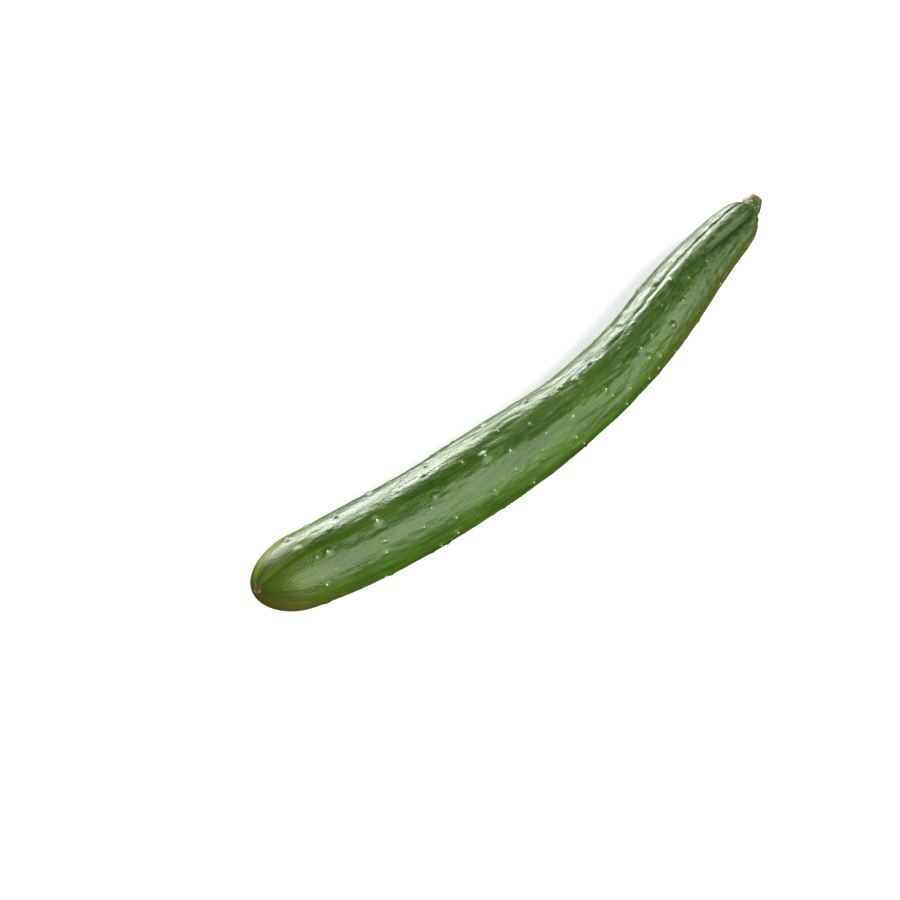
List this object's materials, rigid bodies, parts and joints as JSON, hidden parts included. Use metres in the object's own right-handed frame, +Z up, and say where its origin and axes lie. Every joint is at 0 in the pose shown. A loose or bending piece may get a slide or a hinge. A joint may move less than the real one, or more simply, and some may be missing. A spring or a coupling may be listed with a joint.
{
  "type": "cucumber",
  "caption": "Slender dark green slicing cucumber with a gentle bend, a ribbed neck and a short stub of its stem, lying on its side",
  "frame": {"origin": "on the plane that the cucumber lies on, under the middle of its bounding box", "axes": "+Z up; +X along the cucumber towards its stem end; +Y towards the inside of its bend, so the bend's outside is at -Y"},
  "size_m": [0.228, 0.037, 0.0251],
  "materials": {
    "skin": "glossy waxy vegetable skin, dark green, finely wrinkled along its length, with low warts",
    "stem": "matt green to tan dried plant stem with a pale cut face"
  },
  "bodies": {
    "root": {"fruit": "skin", "stem_stub": "stem"}
  },
  "joints": []
}
